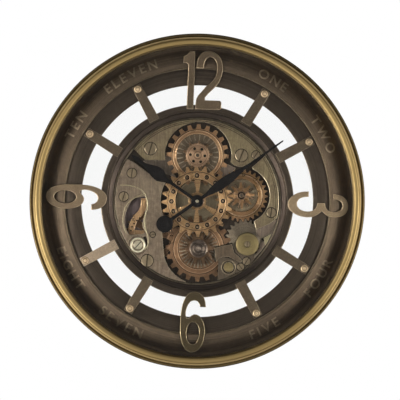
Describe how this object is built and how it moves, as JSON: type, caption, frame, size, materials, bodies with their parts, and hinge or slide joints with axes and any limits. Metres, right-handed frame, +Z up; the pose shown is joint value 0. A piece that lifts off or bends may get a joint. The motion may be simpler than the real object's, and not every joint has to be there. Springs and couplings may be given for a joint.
{
  "type": "gear wall clock",
  "caption": "Round wall clock with a heavy framed dial ring on spokes around a drum of turning gear wheels, glass front, two hands and separate quartz and gear drives.",
  "frame": {"origin": "on the hand axis, in the wall plane that the back of the clock lies on", "axes": "+Y goes into the wall along the hand axis and the front faces -Y, +Z is up to the 12, +X is right as seen from the front"},
  "size_m": [0.54, 0.062, 0.54],
  "materials": {
    "rim_gold": "antique gold enamel, satin with fine scratches",
    "dish_bronze": "dark bronze enamel, satin",
    "ring_dark": "dark brown enamel, satin",
    "bar_bronze": "antique bronze, rubbed",
    "rivet_brass": "worn brass",
    "plate_bronze": "olive bronze, satin",
    "base_dark": "near-black bronze",
    "wheel_copper": "copper-gold plating, satin",
    "disc_brass": "olive brass, satin",
    "wheel_steel": "grey plated",
    "cap_dark": "dark brown, satin",
    "post_steel": "bright turned",
    "hand_black": "black, satin",
    "glass": "clear",
    "case_plastic": "black, moulded",
    "gear_plastic": "ivory, moulded",
    "cell_wrap": "plain dark wrap",
    "back_steel": "dark grey"
  },
  "bodies": {
    "clock_case": {"rim_case": "rim_gold", "front_glass": "glass", "glass_retainer": "ring_dark", "chapter_ring": "dish_bronze", "inner_ring": "ring_dark", "hanger_bracket": "back_steel", "numeral_12_one": "bar_bronze", "numeral_12_two": "bar_bronze", "numeral_3": "bar_bronze", "numeral_6": "bar_bronze", "numeral_9": "bar_bronze", "spoke_01": "bar_bronze", "spoke_02": "bar_bronze", "spoke_04": "bar_bronze", "spoke_05": "bar_bronze", "spoke_07": "bar_bronze", "spoke_08": "bar_bronze", "spoke_10": "bar_bronze", "spoke_11": "bar_bronze", "rivet_01": "rivet_brass", "rivet_02": "rivet_brass", "rivet_04": "rivet_brass", "rivet_05": "rivet_brass", "rivet_07": "rivet_brass", "rivet_08": "rivet_brass", "rivet_10": "rivet_brass", "rivet_11": "rivet_brass", "drum_case": "ring_dark", "drum_bezel": "ring_dark", "drum_back_cover": "back_steel", "base_plate": "base_dark", "plate_upper_left": "plate_bronze", "plate_upper_right": "plate_bronze", "bridge_left": "plate_bronze", "plate_right": "plate_bronze", "cock_lower_right": "plate_bronze", "barrel_disc": "disc_brass", "centre_sleeve_nut": "post_steel", "movement_case": "case_plastic", "movement_back": "case_plastic", "time_cell": "cell_wrap", "gear_cell": "cell_wrap", "cell_holder": "case_plastic", "gear_motor": "case_plastic"},
    "centre_train": {"centre_wheel": "wheel_copper", "centre_drilled_ring": "wheel_copper"},
    "top_train": {"top_wheel": "wheel_copper", "top_six_hole_disc": "wheel_copper"},
    "right_train": {"right_wheel": "wheel_copper"},
    "bottom_train": {"bottom_wheel": "wheel_copper", "bottom_cap": "cap_dark"},
    "side_train": {"side_wheel": "wheel_copper"},
    "grey_train": {"grey_wheel": "wheel_steel"},
    "minute_body": {"minute_arbor": "post_steel", "minute_hand": "hand_black", "hand_cap": "post_steel"},
    "hour_body": {"hour_tube_wheel": "gear_plastic", "hour_hand": "hand_black"},
    "set_body": {"minute_wheel": "gear_plastic", "set_knob": "gear_plastic"}
  },
  "joints": [
    {"name": "centre_spin", "type": "hinge", "parent": "clock_case", "child": "centre_train", "pos_m": [0, 0, 0], "axis": [0, 1, 0], "continuous": true},
    {"name": "top_spin", "type": "hinge", "parent": "clock_case", "child": "top_train", "pos_m": [-0.00194, 0, 0.07422], "axis": [0, 1, 0], "continuous": true},
    {"name": "right_spin", "type": "hinge", "parent": "clock_case", "child": "right_train", "pos_m": [0.07102, 0, 0.01182], "axis": [0, 1, 0], "continuous": true},
    {"name": "bottom_spin", "type": "hinge", "parent": "clock_case", "child": "bottom_train", "pos_m": [0.00507, 0, -0.07633], "axis": [0, 1, 0], "continuous": true},
    {"name": "side_spin", "type": "hinge", "parent": "clock_case", "child": "side_train", "pos_m": [-0.07051, 0, -0.05707], "axis": [0, 1, 0], "continuous": true},
    {"name": "grey_spin", "type": "hinge", "parent": "clock_case", "child": "grey_train", "pos_m": [0.07958, 0, -0.05785], "axis": [0, 1, 0], "continuous": true},
    {"name": "minute_spin", "type": "hinge", "parent": "clock_case", "child": "minute_body", "pos_m": [0, 0, 0], "axis": [0, 1, 0], "continuous": true},
    {"name": "hour_spin", "type": "hinge", "parent": "clock_case", "child": "hour_body", "pos_m": [0, 0, 0], "axis": [0, 1, 0], "continuous": true},
    {"name": "set_spin", "type": "hinge", "parent": "clock_case", "child": "set_body", "pos_m": [0, 0, -0.014], "axis": [0, 1, 0], "continuous": true}
  ],
  "couplings": [
    {"joint": "top_spin", "follows": "centre_spin", "ratio": -2.6667},
    {"joint": "right_spin", "follows": "centre_spin", "ratio": -3},
    {"joint": "bottom_spin", "follows": "centre_spin", "ratio": -2.4},
    {"joint": "side_spin", "follows": "centre_spin", "ratio": 2.0571},
    {"joint": "grey_spin", "follows": "centre_spin", "ratio": 4.0909},
    {"joint": "hour_spin", "follows": "minute_spin", "ratio": 0.083333},
    {"joint": "set_spin", "follows": "minute_spin", "ratio": -0.33333}
  ]
}
